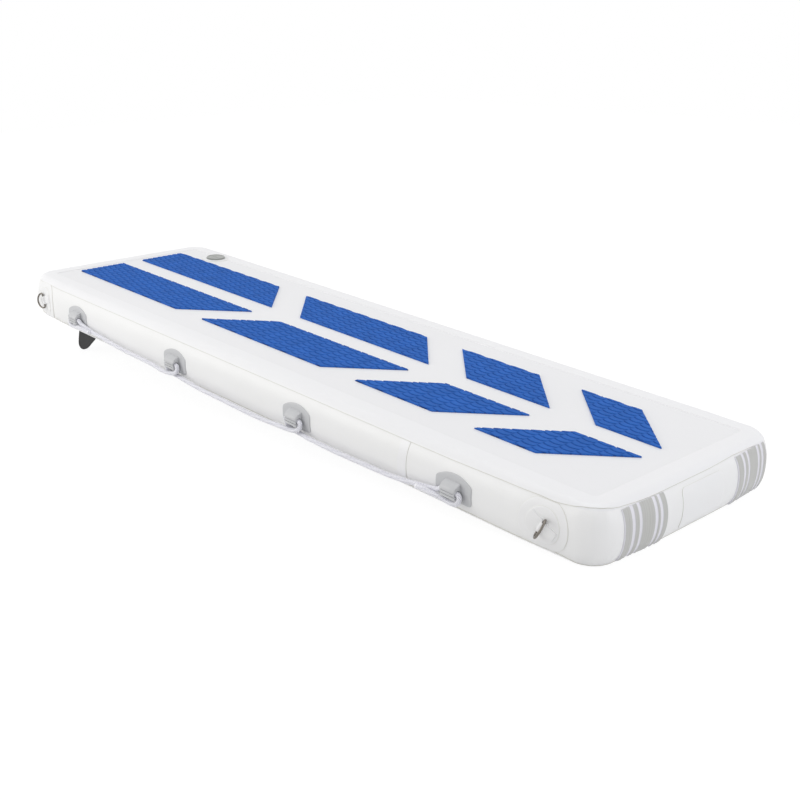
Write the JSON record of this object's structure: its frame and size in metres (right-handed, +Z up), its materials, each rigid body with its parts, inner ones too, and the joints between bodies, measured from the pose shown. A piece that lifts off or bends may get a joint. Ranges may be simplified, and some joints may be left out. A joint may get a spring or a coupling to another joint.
{
  "type": "inflatable gangway",
  "caption": "Long inflatable drop-stitch gangway with foam deck pads, side lifelines in holders, D-rings, an inflation valve, end rubbing strips and small fins.",
  "frame": {"origin": "centre of the flat underside, at the level that the bottom skin lies on", "axes": "+X along the deck to the end with the rubbing strips, +Y across the deck to the side with the valve, +Z up through the deck"},
  "size_m": [2.1033, 0.6614, 0.2227],
  "materials": {
    "white_pvc": "satin coated fabric",
    "tape_pvc": "satin coated fabric",
    "yarn": "polyester yarn",
    "blue_foam": "brushed closed-cell foam",
    "grey_plastic": "moulded",
    "dark_plastic": "moulded",
    "seal_rubber": "matt",
    "stainless_steel": "polished wire",
    "grey_pvc": "moulded vinyl",
    "rope": "braided polyester"
  },
  "bodies": {
    "gangway": {"top_skin": "white_pvc", "bottom_skin": "white_pvc", "side_band": "white_pvc", "top_seam_tape": "tape_pvc", "bottom_seam_tape": "tape_pvc", "side_joint_tape_left": "tape_pvc", "side_joint_tape_right": "tape_pvc", "drop_stitch_core": "yarn", "deck_pad_left_1": "blue_foam", "deck_pad_left_2": "blue_foam", "deck_pad_left_3": "blue_foam", "deck_pad_left_4": "blue_foam", "deck_pad_right_1": "blue_foam", "deck_pad_right_2": "blue_foam", "deck_pad_right_3": "blue_foam", "deck_pad_right_4": "blue_foam", "valve_patch": "white_pvc", "valve_body": "grey_plastic", "valve_nut": "dark_plastic", "valve_spring": "stainless_steel", "rope_holder_left_1": "grey_pvc", "rope_holder_left_2": "grey_pvc", "rope_holder_left_3": "grey_pvc", "rope_holder_left_4": "grey_pvc", "rope_holder_right_1": "grey_pvc", "rope_holder_right_2": "grey_pvc", "rope_holder_right_3": "grey_pvc", "rope_holder_right_4": "grey_pvc", "lifeline_left": "rope", "lifeline_right": "rope", "dring_patch_left_near": "white_pvc", "dring_patch_left_far": "white_pvc", "dring_patch_right_near": "white_pvc", "dring_patch_right_far": "white_pvc", "dring_strap_left_near": "white_pvc", "dring_strap_left_far": "white_pvc", "dring_strap_right_near": "white_pvc", "dring_strap_right_far": "white_pvc", "rubbing_strip_left": "grey_pvc", "rubbing_strip_right": "grey_pvc", "end_panel": "white_pvc", "fin_left": "dark_plastic", "fin_right": "dark_plastic", "fin_base_left": "white_pvc", "fin_base_right": "white_pvc"},
    "ring_left_near": {"dring_left_near": "stainless_steel"},
    "ring_left_far": {"dring_left_far": "stainless_steel"},
    "ring_right_near": {"dring_right_near": "stainless_steel"},
    "ring_right_far": {"dring_right_far": "stainless_steel"},
    "plunger": {"valve_plunger": "grey_plastic", "valve_gasket": "seal_rubber"},
    "cap_lift": {"valve_cap_seal": "seal_rubber"},
    "cap": {"valve_cap": "grey_plastic"}
  },
  "joints": [
    {"name": "ring_left_near_swing", "type": "hinge", "parent": "gangway", "child": "ring_left_near", "pos_m": [0.91821, -0.30744, 0.06], "axis": [0.4835, 0.0363, 0.8746], "range_deg": [-111, 59]},
    {"name": "ring_right_near_swing", "type": "hinge", "parent": "gangway", "child": "ring_right_near", "pos_m": [0.91821, 0.30744, 0.06], "axis": [-0.4835, 0.0363, -0.8746], "range_deg": [-111, 59]},
    {"name": "ring_left_far_swing", "type": "hinge", "parent": "gangway", "child": "ring_left_far", "pos_m": [-0.94021, -0.30579, 0.06], "axis": [-0.3411, 0.0256, 0.9397], "range_deg": [-15, 155]},
    {"name": "ring_right_far_swing", "type": "hinge", "parent": "gangway", "child": "ring_right_far", "pos_m": [-0.94021, 0.30579, 0.06], "axis": [0.3411, 0.0256, -0.9397], "range_deg": [-15, 155]},
    {"name": "valve_plunger_press", "type": "slide", "parent": "gangway", "child": "plunger", "axis": [0, 0, -1], "range_m": [0, 0.003], "stiffness_N_per_m": 400, "springref_m": -0.004, "deforming": ["valve_spring"]},
    {"name": "valve_cap_lift", "type": "slide", "parent": "gangway", "child": "cap_lift", "axis": [0, 0, 1], "range_m": [0, 0.03]},
    {"name": "valve_cap_turn", "type": "hinge", "parent": "cap_lift", "child": "cap", "pos_m": [-0.846, 0.224, 0.125], "axis": [0, 0, 1], "range_deg": [0, 90]}
  ]
}
